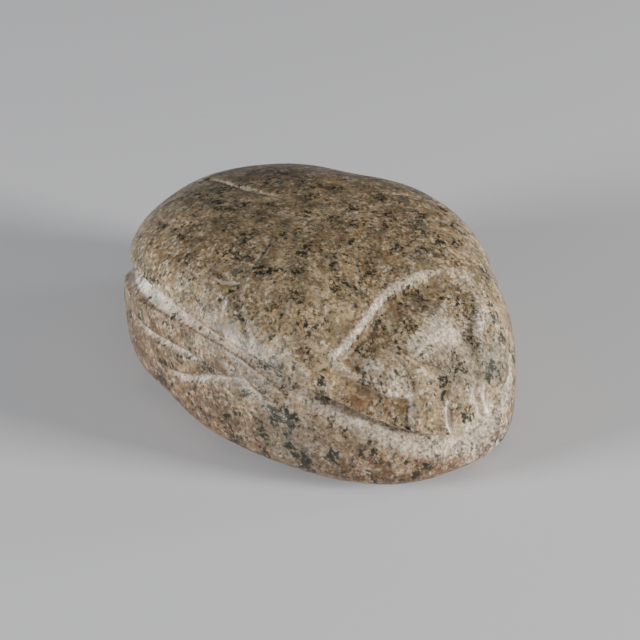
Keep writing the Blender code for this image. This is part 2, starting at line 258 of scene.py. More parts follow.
# How far one colour covers another
BROAD_SHARE = 0.25
MIDDLING_SHARE = 0.35
FINE_SHARE = 0.40
GREY_GRAIN_SHARE = 0.55
OLIVE_SHARE = 0.60
OCHRE_SHARE = 0.60
RUSTY_GRAIN_SHARE = 0.70
RUST_SHARE = 0.30
SPECK_SHARE = 0.85
GREEN_SHARE = 0.65
GREEN_BARENESS = 0.65
# Painted shade with dirt, in hollows and cuts and along the seam
HOLLOW_SHADE_AND_DIRT_SHARE = 0.55
SEAM_SHARE = 0.75

# How broken the film of wear is, and how much more so on the base
FILM_PATCHINESS = 1.6
BASE_PATCHINESS = 1.8

# Eased steps: from where to where the value read goes, then what the step gives at both ends
TONE_STEP = (0.43, 0.57)
OLIVE_STEP = (0.50, 0.62)
OCHRE_STEP = (0.51, 0.62)
PALE_STEP = (0.0, 1.0, 0.62, 0.95)
CROWDING_STEP = (0.42, 0.66, -0.06, 0.12)
CLUSTER_STEP = (0.60, 0.68)
WORN_STEP = (0.15, 1.05, 0.0, 0.80)
BRUISE_STEP = (0.34, 0.60, 0.45, 0.95)
GROOVE_STEP = (0.34, 0.60, 0.60, 0.92)
FRESH_STEP = (0.34, 0.60, 0.55, 0.98)
WHITENED_STEP = (0.40, 0.60)
# Painted shade and dirt, uneven with the middling tone
SHADE_AND_DIRT_STEP = (0.35, 0.60, 0.50, 1.0)
DARK_STEP = (0.2, 0.9, 0.94, 0.42)
FINE_SHADE_STEP = (0.28, 0.72, 0.70, 1.28)
MOTTLING_STEP = (0.38, 0.62, 0.78, 1.20)
ROUGHNESS_STEP = (0.3, 0.7, 0.30, 0.50)

# The polish
FILM_ROUGHNESS = 0.15
SPECULAR_LEVEL = 0.35
DARK_SINK = 0.5
BUMP_STRENGTH = 0.7

# Points on the stone, as shares of half its length, half its width and its height
HEAD_ARCH = (
    (0.671, -0.534, 0.743),
    (0.662, -0.402, 0.803),
    (0.625, -0.268, 0.851),
    (0.549, -0.070, 0.897),
    (0.522, 0.150, 0.912),
    (0.528, 0.352, 0.904),
    (0.560, 0.445, 0.870),
    (0.620, 0.470, 0.820),
    (0.683, 0.437, 0.774),
    (0.737, 0.396, 0.731),
)
HEAD_RIGHT_SIDE = (
    (0.799, 0.335, 0.682),
    (0.859, 0.304, 0.599),
    (0.915, 0.250, 0.522),
    (0.956, 0.200, 0.434),
    (0.985, 0.215, 0.300),
)
HEAD_LEFT_SIDE = (
    (0.975, -0.235, 0.360),
    (0.935, -0.225, 0.480),
    (0.902, -0.223, 0.552),
    (0.859, -0.331, 0.587),
    (0.809, -0.408, 0.633),
    (0.759, -0.475, 0.668),
    (0.688, -0.534, 0.724),
)
NEAR_CHEEK = (
    (0.690, -0.550, 0.712),
    (0.759, -0.475, 0.668),
    (0.809, -0.408, 0.633),
    (0.859, -0.331, 0.587),
    (0.902, -0.225, 0.552),
    (0.952, -0.235, 0.420),
    (0.965, -0.250, 0.370),
    (0.890, -0.450, 0.420),
    (0.800, -0.590, 0.480),
    (0.738, -0.625, 0.560),
    (0.705, -0.600, 0.655),
)
FAR_CHEEK = (
    (0.640, 0.490, 0.790),
    (0.720, 0.440, 0.735),
    (0.799, 0.350, 0.682),
    (0.859, 0.315, 0.600),
    (0.915, 0.265, 0.522),
    (0.965, 0.215, 0.400),
    (0.960, 0.300, 0.350),
    (0.900, 0.450, 0.440),
    (0.820, 0.560, 0.530),
    (0.720, 0.600, 0.640),
    (0.650, 0.570, 0.740),
)
STROKES = {
    "middle line": {"width": 0.45, "depth": 0.32, "points": (
        (-0.80, -0.150, 0.760), (-0.644, -0.130, 0.866), (-0.485, -0.135, 0.928), (-0.363, -0.117, 0.960),
        (-0.250, -0.056, 0.980))},
    "near thorax line": {"width": 0.40, "depth": 0.20, "points": (
        (0.008, -0.293, 0.996), (0.101, -0.421, 0.989), (0.195, -0.626, 0.949), (0.222, -0.696, 0.919),
        (0.267, -0.758, 0.876), (0.334, -0.792, 0.822), (0.383, -0.811, 0.771), (0.440, -0.824, 0.699))},
    "far thorax line": {"width": 0.40, "depth": 0.20, "points": (
        (-0.046, 0.404, 0.987), (-0.016, 0.551, 0.970), (0.024, 0.673, 0.942), (0.120, 0.790, 0.870),
        (0.260, 0.850, 0.760))},
    "shoulder wedge": {"width": 0.45, "depth": 0.22, "mirrored": True, "points": (
        (0.054, -0.741, 0.916), (0.120, -0.735, 0.916), (0.174, -0.727, 0.914))},
    "shoulder upright": {"width": 0.40, "depth": 0.18, "mirrored": True, "points": (
        (0.049, -0.755, 0.910), (0.129, -0.831, 0.857), (0.176, -0.859, 0.820))},
    "shoulder stroke": {"width": 0.40, "depth": 0.18, "mirrored": True, "points": (
        (0.206, -0.783, 0.876), (0.235, -0.847, 0.813), (0.256, -0.875, 0.768))},
    "upper hind leg": {"width": 0.65, "depth": 0.55, "mirrored": True, "points": (
        (-0.346, -0.944, 0.445), (-0.217, -0.982, 0.443), (-0.104, -0.997, 0.465), (0.030, -0.995, 0.497),
        (0.170, -0.974, 0.520), (0.248, -0.954, 0.525))},
    "lower hind leg": {"width": 0.65, "depth": 0.55, "mirrored": True, "points": (
        (-0.080, -1.000, 0.300), (0.027, -0.998, 0.328), (0.120, -0.987, 0.366), (0.235, -0.962, 0.441),
        (0.308, -0.937, 0.484), (0.400, -0.896, 0.530))},
    "middle leg": {"width": 0.50, "depth": 0.40, "mirrored": True, "points": (
        (0.325, -0.915, 0.607), (0.377, -0.901, 0.564), (0.445, -0.875, 0.519), (0.532, -0.831, 0.452),
        (0.614, -0.776, 0.396), (0.686, -0.718, 0.348))},
    "middle leg foot": {"width": 0.90, "depth": 0.30, "mirrored": True, "points": (
        (0.640, -0.760, 0.360), (0.759, -0.645, 0.275), (0.843, -0.539, 0.245))},
    "fore leg": {"width": 0.55, "depth": 0.40, "mirrored": True, "points": (
        (0.590, -0.785, 0.487), (0.639, -0.753, 0.447), (0.690, -0.712, 0.390))},
    "near clypeus notch": {"width": 0.55, "depth": 0.45, "points": (
        (0.895, -0.226, 0.565), (0.920, -0.225, 0.507), (0.945, -0.224, 0.450))},
    "middle clypeus notch": {"width": 0.45, "depth": 0.55, "points": (
        (0.948, -0.008, 0.495), (0.972, -0.020, 0.420), (0.993, -0.037, 0.345))},
    "far clypeus notch": {"width": 0.55, "depth": 0.50, "points": (
        (0.935, 0.178, 0.500), (0.960, 0.190, 0.415), (0.980, 0.200, 0.335))},
    "near cheek line": {"width": 0.45, "depth": 0.25, "points": (
        (0.722, -0.255, 0.775), (0.793, -0.203, 0.711), (0.864, -0.188, 0.623), (0.906, -0.204, 0.550))},
}
FINE_STROKES = {
    "shoulder base": {"width": 0.5, "depth": 0.15, "points": (
        (0.100, -0.775, 0.900), (0.150, -0.750, 0.906), (0.207, -0.702, 0.920))},
    "second middle line": {"width": 0.6, "depth": 0.18, "points": (
        (-0.480, -0.115, 0.930), (-0.350, -0.090, 0.962), (-0.225, -0.045, 0.983))},
    "cheek tick": {"width": 0.4, "depth": 0.15, "points": (
        (0.700, -0.600, 0.640), (0.712, -0.612, 0.600), (0.722, -0.620, 0.565))},
    "plate tick": {"width": 0.4, "depth": 0.12, "points": (
        (0.547, 0.412, 0.883), (0.575, 0.395, 0.870), (0.602, 0.380, 0.854))},
    "far rim line": {"width": 0.35, "depth": 0.15, "points": (
        (0.737, 0.551, 0.644), (0.772, 0.520, 0.612), (0.809, 0.486, 0.577))},
}

# Short marks side by side, from the first one's place to the last one's
CHEEK_MARKS = {"count": 7, "from": (0.745, -0.440, 0.705), "to": (0.865, -0.270, 0.605), "length": 1.1}
RIM_MARKS = {"count": 6, "from": (0.703, 0.478, 0.738), "to": (0.812, 0.407, 0.628), "length": 0.8}
MARK_WIDTH = 0.28
MARK_DEPTH = 0.16

# Painted highlights: bright lines in the middle and far notches of the clypeus
NOTCH_GLINT_WIDTH = 0.48
NOTCH_GLINTS = (
    ((0.944, -0.012, 0.505), (0.972, -0.022, 0.420), (0.995, -0.040, 0.335)),
    ((0.952, 0.225, 0.500), (0.972, 0.240, 0.415), (0.985, 0.252, 0.335)),
)

# How far the cuts are whitened, and in two notches of the clypeus painted bright as highlights: over 1 the
# whitened band is wider
USUAL_BRUISE = 0.55
WHITENED_CUTS_AND_GLINTS = {
    "upper hind leg": 0.85,
    "lower hind leg": 0.95,
    "near cheek line": 0.40,
    "near clypeus notch": 0.45,
    # Widened so that the whitening paints the highlights in these two notches
    "middle clypeus notch": 2.2,
    "far clypeus notch": 1.5,
    "middle line": 1.3,
    "far thorax line": 0.65,
    "middle leg": 0.75,
    "middle leg foot": 0.25,
    "near thorax line": 0.50,
    "shoulder stroke": 0.9,
    "shoulder base": 0.9,
    "shoulder wedge": 0.0,
    "shoulder upright": 0.2,
    "second middle line": 0.35,
}

# Soft spots of colour: middle, reach in millimetres, strength
# Whitish wear, which at the front of the head and of the base also paints highlights
WEAR_AND_HIGHLIGHT_SPOTS = (
    ((0.773, 0.131, 0.738), 3.2, 0.90),
    ((0.784, -0.018, 0.730), 2.4, 0.85),
    ((0.820, 0.080, 0.690), 6.5, 0.50),
    ((0.752, 0.340, 0.731), 2.4, 0.65),
    ((0.580, 0.470, 0.860), 2.0, 0.50),
    ((0.703, 0.500, 0.730), 1.8, 0.45),
    ((0.712, -0.428, 0.748), 1.4, 0.65),
    ((0.777, -0.359, 0.697), 1.7, 0.80),
    ((0.841, -0.270, 0.639), 1.7, 0.80),
    ((0.696, -0.498, 0.736), 1.2, 0.45),
    ((0.897, -0.211, 0.564), 0.9, 0.70),
    ((0.943, 0.178, 0.476), 1.7, 0.90),
    ((0.969, 0.240, 0.380), 1.8, 0.95),
    ((0.998, 0.114, 0.269), 3.6, 0.80),
    ((0.944, 0.323, 0.119), 4.0, 0.60),
    ((0.133, -0.869, 0.820), 3.2, 0.42),
    ((-0.034, -0.889, 0.809), 3.2, 0.42),
    ((-0.119, -0.951, 0.693), 3.0, 0.45),
    ((0.338, -0.856, 0.742), 2.4, 0.15),
    ((0.635, -0.704, 0.080), 2.5, 0.30),
    ((0.719, -0.655, 0.528), 2.4, 0.45),
)
RUST_SPOTS = (
    ((0.814, -0.478, 0.573), 3.0, 1.00),
    ((0.882, -0.313, 0.520), 2.4, 0.80),
    ((0.192, -0.967, 0.219), 8.0, 0.50),
    ((-0.156, -0.994, 0.391), 6.0, 0.40),
    ((0.770, -0.633, 0.276), 4.0, 0.50),
    ((0.976, -0.232, 0.171), 5.0, 0.35),
    ((0.560, -0.800, 0.230), 6.5, 0.60),
)
GREEN_SPOTS = (
    ((0.900, 0.060, 0.590), 1.8, 0.9),
    ((0.884, 0.231, 0.582), 2.8, 1.2),
    ((0.868, 0.379, 0.542), 2.3, 1.0),
    ((0.461, -0.872, 0.439), 4.0, 0.40),
    ((0.640, -0.757, 0.260), 4.5, 0.85),
    ((-0.600, -0.300, 0.850), 6.0, 0.35),
)


def smooth(value):
    """An eased step from 0 to 1."""
    share = np.clip(value, 0.0, 1.0)
    return share * share * (3.0 - 2.0 * share)


def signed_power(value, exponent):
    return np.sign(value) * np.abs(value) ** exponent


def around(angle, front, side, rear):
    """A value that changes smoothly from the front over the sides to the rear."""
    along = np.cos(angle)
    end = np.where(along > 0.0, front, rear)
    return side + (end - side) * along**2


def widest_outline(angle):
    """The pebble's widest outline, seen from above."""
    along, across = np.cos(angle), np.sin(angle)
    roundness = REAR_ROUNDNESS + (FRONT_ROUNDNESS - REAR_ROUNDNESS) * (0.5 + 0.5 * along)
    x_share = signed_power(along, roundness)
    y_share = signed_power(across, roundness) * (1.0 + TAPER * x_share)
    return x_share * STONE_LENGTH / 2, y_share * STONE_WIDTH / 2


def pebble(angle, rise):
    """The smooth stone: rise runs -2 to -1 over the underside, to 0 at the widest, to 1 at the crown."""
    out_x, out_y = widest_outline(angle)
    middle = (FRONT_WIDEST_HEIGHT + REAR_WIDEST_HEIGHT) / 2
    widest = middle + (FRONT_WIDEST_HEIGHT - middle) * out_x / (STONE_LENGTH / 2)
    turn = np.clip(np.abs(rise), 0.0, 1.0) * math.pi / 2
    back = around(angle, **BACK_ROUNDNESS)
    base = around(angle, **BASE_ROUNDNESS)
    above = rise > 0.0
    inward = np.cos(turn) ** np.where(above, back, base)
    upward = np.sin(turn) ** np.where(above, back, base)
    reach = np.where(above, inward, FOOT_SHARE + (1.0 - FOOT_SHARE) * inward)
    reach = np.where(rise < -1.0, FOOT_SHARE * (rise + 2.0), reach)
    height = np.where(above, widest + (STONE_HEIGHT - widest) * upward, widest * (1.0 - upward))
    height = np.where(rise < -1.0, 0.0, height)
    forward = np.where(above, CROWN_OFFSET * upward, 0.0)
    return np.stack([out_x * reach + forward, out_y * reach, height], axis=-1)


def waist_height(angle):
    """The height of the waist groove's upper edge."""
    turned = np.where(np.cos(angle) > 0.0, angle - HEAD_TURN * np.cos(angle) ** 2, angle)
    bow = (np.sin(turned) ** 2 + 0.003) ** (WAIST_BOW / 2)
    end = np.where(np.cos(turned) > 0.0, FRONT_WAIST_HEIGHT, REAR_WAIST_HEIGHT)
    return end + (SIDE_WAIST_HEIGHT - end) * bow


def along_waist(angle, cove, neck, groove):
    """A value that goes from the cove under the head over the narrow neck to the groove behind."""
    turn = np.abs((angle + math.pi) % (2 * math.pi) - math.pi)
    ahead = smooth((NECK_ANGLE - turn) / COVE_SPREAD)
    behind = smooth((turn - GROOVE_START) / GROOVE_SPREAD)
    return neck + (cove - neck) * ahead + (groove - neck) * behind


def waist_width(angle):
    """The width of the groove below its edge."""
    return along_waist(angle, COVE_WIDTH, NECK_WIDTH, GROOVE_WIDTH)


def surface_grid():
    """The pebble's points on a grid of rings and columns, and each point's way above the waist's edge."""
    turns = np.arange(COLUMNS) * 2 * math.pi / COLUMNS
    angles = turns - FRONT_CROWDING * np.sin(turns)
    rises = np.linspace(-2.0, 1.0, COLUMN_SAMPLES)
    stops = np.cumsum([0, UNDERSIDE_RINGS, SIDE_RINGS, COVE_RINGS, LIP_RINGS, BACK_RINGS])
    ring_numbers = np.arange(stops[-1] + 1)
    points = np.empty((len(ring_numbers), COLUMNS, 3))
    ways = np.empty((len(ring_numbers), COLUMNS))
    for column, angle in enumerate(angles):
        samples = pebble(angle, rises)
        steps = np.linalg.norm(np.diff(samples, axis=0), axis=1)
        lengths = np.concatenate([[0.0], np.cumsum(steps)])
        foot = np.interp(-1.0, rises, lengths)
        upper = rises >= 0.0
        edge = np.interp(waist_height(angle), samples[upper, 2], lengths[upper])
        bottom = edge - WAIST_LIP_WIDTH - waist_width(angle)
        marks = [0.0, foot, bottom, edge - WAIST_LIP_WIDTH, edge, lengths[-1]]
        ring_lengths = np.interp(ring_numbers, stops, marks)
        points[:, column] = pebble(angle, np.interp(ring_lengths, lengths, rises))
        ways[:, column] = ring_lengths - edge
    return angles, points, ways


def grid_normals(points):
    """The outward normals of a grid that closes round its columns."""
    along = np.roll(points, -1, axis=1) - np.roll(points, 1, axis=1)
    upward = np.gradient(points, axis=0)
    normals = np.cross(along, upward)
    normals[0] = (0.0, 0.0, -1.0)
    normals[-1] = (0.0, 0.0, 1.0)
    return normals / np.linalg.norm(normals, axis=-1, keepdims=True)


def placed(shares, side=1.0):
    """Points given in shares of the stone, in millimetres, on the near side or mirrored to the far one."""
    return np.array(shares) * (STONE_LENGTH / 2, side * STONE_WIDTH / 2, STONE_HEIGHT)


def curve(points, closed=False, steps=6):
    """A smooth curve through the points."""
    points = np.asarray(points, dtype=float)
    if closed:
        padded = np.vstack([points[-1:], points, points[:2]])
    else:
        padded = np.vstack([2 * points[0] - points[1], points, 2 * points[-1] - points[-2]])
    result = []
    for p0, p1, p2, p3 in zip(padded, padded[1:], padded[2:], padded[3:]):
        for step in range(steps):
            t = step / steps
            result.append(0.5 * (2 * p1 + (p2 - p0) * t + (2 * p0 - 5 * p1 + 4 * p2 - p3) * t**2
                                 + (3 * p1 - p0 - 3 * p2 + p3) * t**3))
    if not closed:
        result.append(points[-1])
    return np.array(result)


def stroke_shape(points, normals, path, width):
    """One groove's profile, 1 along its middle, which thins out at both ends."""
    lengths = np.concatenate([[0.0], np.cumsum(np.linalg.norm(np.diff(path, axis=0), axis=1))])
    nearest = np.full(points.shape[:-1], np.inf)
    thickness = np.zeros(points.shape[:-1])
    for start, end, so_far, after in zip(path, path[1:], lengths, lengths[1:]):
        leg = end - start
        share = np.clip((points - start) @ leg / (leg @ leg), 0.0, 1.0)
        offset = points - start - share[..., None] * leg
        outward = np.sum(offset * normals, axis=-1, keepdims=True)
        away = np.linalg.norm(offset - 0.8 * outward * normals, axis=-1)
        position = (so_far + share * (after - so_far)) / lengths[-1]
        ends = np.sqrt(smooth(position / 0.3) * smooth((1.0 - position) / 0.3))
        thickness = np.where(away < nearest, 0.25 + 0.75 * ends, thickness)
        nearest = np.minimum(nearest, away)
    return thickness * smooth(1.1 - nearest / (width * thickness))


def path_distance(places, path):
    """The distance of places on the drawing plane from a path."""
    nearest = np.full(places.shape[:-1], np.inf)
    for start, end in zip(path, path[1:]):
        leg = end - start
        share = np.clip((places - start) @ leg / max(leg @ leg, 1e-9), 0.0, 1.0)
        offset = places - start - share[..., None] * leg
        nearest = np.minimum(nearest, np.linalg.norm(offset, axis=-1))
    return nearest


def on_face(points):
    """A place on the drawing plane of the head, which leans back by the face's tilt."""
    up = points[..., 2] * math.cos(FACE_TILT) - points[..., 0] * math.sin(FACE_TILT)
    return np.stack([points[..., 1], up], axis=-1)


def inside_distance(places, loop):
    """How far places lie inside a closed loop, negative outside it."""
    crossings = np.zeros(places.shape[:-1], dtype=int)
    for start, end in zip(loop, np.roll(loop, -1, axis=0)):
        leg = end - start
        spans = (places[..., 1] >= start[1]) != (places[..., 1] >= end[1])
        rise = leg[1] if abs(leg[1]) > 1e-9 else 1e-9
        crossing = start[0] + (places[..., 1] - start[1]) * leg[0] / rise
        crossings += spans & (places[..., 0] < crossing)
    nearest = path_distance(places, np.vstack([loop, loop[:1]]))
    return np.where(crossings % 2 == 1, nearest, -nearest)


def waist_depth(angles, ways):
    """The waist groove: steep under its edge and rising gently to its lower lip."""
    width = waist_width(angles)
    depth = along_waist(angles, COVE_DEPTH, NECK_DEPTH, GROOVE_DEPTH)
    under = smooth(-ways / WAIST_LIP_WIDTH)
    rising = np.clip(1.0 + (ways + WAIST_LIP_WIDTH) / width, 0.0, 1.0)
    return depth * under * rising ** along_waist(angles, COVE_ROUNDNESS, GROOVE_ROUNDNESS, GROOVE_ROUNDNESS)


def far_share(points):
    """How far a place lies in the arch's shallow far side, from 0 to 1."""
    return smooth((points[..., 1] / (STONE_WIDTH / 2) - FAR_ARCH_START) / FAR_ARCH_SPAN)


def at_head(points):
    """How far a place lies in the head, from 0 to 1."""
    return smooth((points[..., 0] / STONE_LENGTH - HEAD_START) / HEAD_START_SPAN)


def head_depth(points):
    """The sunk head plate inside its arch, and the cheeks beside the clypeus."""
    places = on_face(points)
    outline = np.vstack([curve(placed(HEAD_ARCH)), placed(HEAD_RIGHT_SIDE), placed(HEAD_LEFT_SIDE)])
    inside = inside_distance(places, on_face(outline))
    behind = path_distance(places, on_face(curve(placed(HEAD_ARCH))))
    rise = smooth((behind - ARCH_STEP_WIDTH) / PLATE_RISE_LENGTH)
    front = smooth((behind - ARCH_STEP_WIDTH - PLATE_RISE_LENGTH) / CLYPEUS_LENGTH)
    arch = ARCH_DEPTH + (FAR_ARCH_DEPTH - ARCH_DEPTH) * far_share(points)
    hollow = arch + (CREST_DEPTH - arch) * rise + (CLYPEUS_DEPTH - CREST_DEPTH) * front
    depth = hollow * smooth(inside / ARCH_STEP_WIDTH)
    for loop, deep in ((NEAR_CHEEK, CHEEK_DEPTH), (FAR_CHEEK, FAR_CHEEK_DEPTH)):
        inside = inside_distance(places, on_face(curve(placed(loop), closed=True)))
        fall = 1.0 - smooth(path_distance(places, on_face(outline)) / CHEEK_FALL_LENGTH)
        start = smooth((points[..., 0] / (STONE_LENGTH / 2) - CHEEK_START) / CHEEK_START_SPAN)
        depth = np.maximum(depth, deep * fall * start * smooth(inside / CHEEK_STEP_WIDTH))
    return depth * at_head(points)


def ground_depth(points):
    """The slight unevenness that grinding by hand leaves."""
    x, y, z = np.moveaxis(points * 2 * math.pi / SWELL_LENGTH, -1, 0)
    depth = SWELL_DEPTH * np.sin(0.9 * x + 0.7 * y + 4.4) * np.sin(0.7 * y - z + 0.4)
    for middle, flat_depth in FLATS:
        away = np.linalg.norm(points - placed(middle), axis=-1)
        depth = depth + flat_depth * np.exp(-(away / FLAT_RADIUS) ** 2)
    return depth


def row_of_marks(marks, points, normals):
    """Short strokes side by side that run down the face of the stone."""
    first, last = placed(marks["from"]), placed(marks["to"])
    depth = np.zeros(points.shape[:-1])
    for number in range(marks["count"]):
        top = first + (last - first) * number / (marks["count"] - 1)
        nearest = np.unravel_index(np.argmin(np.linalg.norm(points - top, axis=-1)), depth.shape)
        normal = normals[nearest]
        downhill = np.array((0.0, 0.0, -1.0)) + normal[2] * normal
        downhill /= np.linalg.norm(downhill)
        path = np.array([top, top + 0.5 * marks["length"] * downhill, top + marks["length"] * downhill])
        depth = depth + stroke_shape(points, normals, path, MARK_WIDTH)
    return depth


def blurred(values, times):
    """The values averaged with their neighbours on the grid."""
    for _ in range(times):
        values = (values + np.roll(values, 1, axis=1) + np.roll(values, -1, axis=1)) / 3.0
        values = np.vstack([values[:1], (values[:-2] + values[1:-1] + values[2:]) / 3.0, values[-1:]])
    return values


def field(points, size, seed):
    """Soft noise between about -1 and 1 with bumps of that size, in millimetres."""
    shift = Vector((seed * 17.3, seed * 5.1, -seed * 9.7))
    flat = points.reshape(-1, 3) / size
    values = [noise.noise(Vector(place) + shift) for place in flat]
    return np.array(values).reshape(points.shape[:-1])


def spots(points, listed):
    """A mask of soft round spots: each one's middle, reach in millimetres and strength."""
    mask = np.zeros(points.shape[:-1])
    for middle, reach, strength in listed:
        away = np.linalg.norm(points - placed(middle), axis=-1)
        mask = np.maximum(mask, strength * np.exp(-(away / reach) ** 2))
    return mask


def stroke_masks(strokes, points, normals):
    """The depth and the bruised colour of a set of grooves."""
    depth = np.zeros(points.shape[:-1])
    bruise_and_glint = np.zeros(points.shape[:-1])
    for name, stroke in strokes.items():
        sides = (1.0, -1.0) if stroke.get("mirrored") else (1.0,)
        for side in sides:
            path = curve(placed(stroke["points"], side))
            depth = depth + stroke["depth"] * stroke_shape(points, normals, path, stroke["width"])
            wide = stroke_shape(points, normals, path, stroke["width"] * BRUISE_SPREAD)
            strength = WHITENED_CUTS_AND_GLINTS.get(name, USUAL_BRUISE)
            bruise_and_glint = np.maximum(bruise_and_glint, np.minimum(strength * smooth(wide * BRUISE_GAIN), 1.0))
    return depth, bruise_and_glint


def surface_wear(points, edges):
    """The depth of the chips along the edges, and of the pits and ripples of the polished surface."""
    chips = edges * smooth((field(points, CHIP_SIZE, 1) - CHIP_START) / CHIP_SPAN)
    pits = smooth((field(points, PIT_SIZE, 2) - PIT_START) / PIT_SPAN)
    return CHIP_DEPTH * chips + PIT_DEPTH * pits + RIPPLE_DEPTH * field(points, RIPPLE_SIZE, 3)


def waist_masks(angles, ways, waist):
    """The film in the waist groove, its fresh facet, and the painted shade and dirt along the facet's lower
    edge.
    """
    width = waist_width(angles)
    depth_share = waist / along_waist(angles, COVE_DEPTH, NECK_DEPTH, GROOVE_DEPTH)
    above_seam = 1.0 + (ways + WAIST_LIP_WIDTH) / width - along_waist(angles, **FACET_START)
    facet = smooth(depth_share / FILM_DEPTH_SHARE) * smooth(above_seam / FACET_FADE + 0.5)
    from_fresh = (angles - FRESH_ANGLE + math.pi) % (2 * math.pi) - math.pi
    film = facet * along_waist(angles, **GROOVE_FILM)
    fresh_and_glint = facet * np.exp(-(from_fresh / FRESH_SPREAD) ** 2)
    # A dark line of painted shade and dirt along the facet's lower edge
    seam = np.exp(-(above_seam * width / SEAM_WIDTH) ** 2) * along_waist(angles, **SEAM_SHADE_AND_DIRT)
    return film, fresh_and_glint, seam


def arch_band(points):
    """The worn band along the arch of the head, weaker on the far side."""
    behind = path_distance(on_face(points), on_face(curve(placed(HEAD_ARCH))))
    wear = 1.0 + (FAR_ARCH_WEAR - 1.0) * far_share(points)
    return np.exp(-(behind / ARCH_BAND) ** 2) * at_head(points) * wear


def settled(carved):
    """The carved points in metres, with closed ends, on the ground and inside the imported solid's box."""
    carved[0] = carved[0].mean(axis=0)
    carved[-1] = carved[-1].mean(axis=0)
    centre = (carved.max(axis=(0, 1)) + carved.min(axis=(0, 1))) / 2
    carved = (carved - (centre[0], centre[1], carved[..., 2].min())) * MM
    return np.clip(carved, np.array(cad_box[0]), np.array(cad_box[1]))


def carved_stone():
    """The carved stone's points on the fine grid, and the masks that its finish reads."""
    angles, points, ways = surface_grid()
    normals = grid_normals(points)
    angles = np.broadcast_to(angles, ways.shape)
    waist = waist_depth(angles, ways)
    above_lip = smooth(1.0 + ways / WAIST_LIP_WIDTH)
    large = np.maximum(waist, head_depth(points) * above_lip)
    strokes, bruise_and_glint = stroke_masks(STROKES, points, normals)
    fine, fine_bruise = stroke_masks(FINE_STROKES, points, normals)
    marks = row_of_marks(CHEEK_MARKS, points, normals) + row_of_marks(RIM_MARKS, points, normals)
    raised = blurred(large, EDGE_BLURS) - large
    edges = smooth(raised / EDGE_RISE)
    hollows = smooth(-raised / EDGE_RISE)

    small = fine + MARK_DEPTH * marks + surface_wear(points, edges)
    taken = (large + strokes + ground_depth(points) + small) * smooth(points[..., 2] / UNCUT_HEIGHT)
    carved = settled(points - normals * taken[..., None])

    film, fresh_and_glint, seam = waist_masks(angles, ways, waist)
    # The bright lines in two notches are painted highlights, kept with the fresh cuts
    for glint in NOTCH_GLINTS:
        fresh_and_glint = np.maximum(fresh_and_glint, stroke_shape(points, normals, curve(placed(glint)), NOTCH_GLINT_WIDTH))
    off_lip = 1.0 - np.exp(-(ways / EDGE_REACH) ** 2) * along_waist(angles, **LIP_CALM)
    wear_and_highlight = EDGE_WEAR * edges * off_lip + ARCH_WEAR * arch_band(points) * above_lip
    # Painted shade and dirt in the hollows and inside the cuts
    dirt_and_shade = hollows + STROKE_SHADE_AND_DIRT * smooth(strokes / FULL_SHADE_AND_DIRT_DEPTH)
    # The base grows darker towards the bottom
    low = LEAST_LOW_SHARE + (1.0 - LEAST_LOW_SHARE) * smooth(LOW_START - points[..., 2] / LOW_HEIGHT)
    masks = {
        # Wear, whose spots at the front also paint highlights
        "wear_and_highlight": wear_and_highlight + spots(points, WEAR_AND_HIGHLIGHT_SPOTS),
        # Whitened cuts, which in two notches also paint highlights
        "bruised_and_glint": bruise_and_glint + fine_bruise + MARK_BRUISE * marks,
        "groove": film,
        # Fresh cuts and the painted highlights in two notches
        "fresh_and_glint": fresh_and_glint,
        # Painted shade with dirt in hollows and cuts
        "hollow": np.minimum(dirt_and_shade, 1.0) * (1.0 - bruise_and_glint) * off_lip,
        "seam": seam,
        "base": smooth(0.5 - ways / BASE_FADE) * low,
        "rust": spots(points, RUST_SPOTS),
        "green": spots(points, GREEN_SPOTS),
    }
    return carved, {name: np.clip(mask, 0.0, 1.0) for name, mask in masks.items()}


def stone_piece(material):
    """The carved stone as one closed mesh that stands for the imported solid."""
    grid, masks = carved_stone()
    rings = len(grid) - 1
    inner = grid[1:-1].reshape(-1, 3)
    vertices = np.vstack([grid[:1, 0], inner, grid[-1:, 0]])
    last = len(vertices) - 1
    top = 1 + (rings - 2) * COLUMNS
    faces = []
    for column in range(COLUMNS):
        after = (column + 1) % COLUMNS
        faces.append((0, 1 + after, 1 + column))
        faces.append((last, top + column, top + after))
        for ring in range(rings - 2):
            low, high = 1 + ring * COLUMNS, 1 + (ring + 1) * COLUMNS
            faces.append((low + column, low + after, high + after, high + column))
    mesh = bpy.data.meshes.new("carved_stone")
    mesh.from_pydata(vertices.tolist(), [], faces)
    mesh.shade_smooth()
    for name, mask in masks.items():
        values = np.concatenate([[mask[0].mean()], mask[1:-1].ravel(), [mask[-1].mean()]])
        attribute = mesh.attributes.new(name, "FLOAT", "POINT")
        attribute.data.foreach_set("value", values.astype(np.float32))
    mesh.materials.append(material)
    piece = bpy.data.objects.new("carved_stone", mesh)
    bpy.context.scene.collection.objects.link(piece)
    return piece


def add_node(tree, kind, inputs=None, **settings):
    """A node with its settings and its inputs, which are values or other nodes' outputs."""
    item = tree.nodes.new(kind)
    for name, value in settings.items():
        setattr(item, name, value)
    for name, value in (inputs or {}).items():
        if isinstance(value, bpy.types.NodeSocket):
            tree.links.new(value, item.inputs[name])
        else:
            item.inputs[name].default_value = value
    return item


def maths(tree, operation, first, second):
    return add_node(tree, "ShaderNodeMath", {0: first, 1: second}, operation=operation).outputs[0]


def times(tree, first, second):
    return maths(tree, "MULTIPLY", first, second)


def plus(tree, first, second):
    return maths(tree, "ADD", first, second)


def larger(tree, first, second):
    return maths(tree, "MAXIMUM", first, second)


def eased(tree, value, low, high, start=0.0, end=1.0):
    """A value that eases from start to end while another goes from low to high."""
    inputs = {"Value": value, "From Min": low, "From Max": high, "To Min": start, "To Max": end}
    return add_node(tree, "ShaderNodeMapRange", inputs, interpolation_type="SMOOTHSTEP").outputs[0]


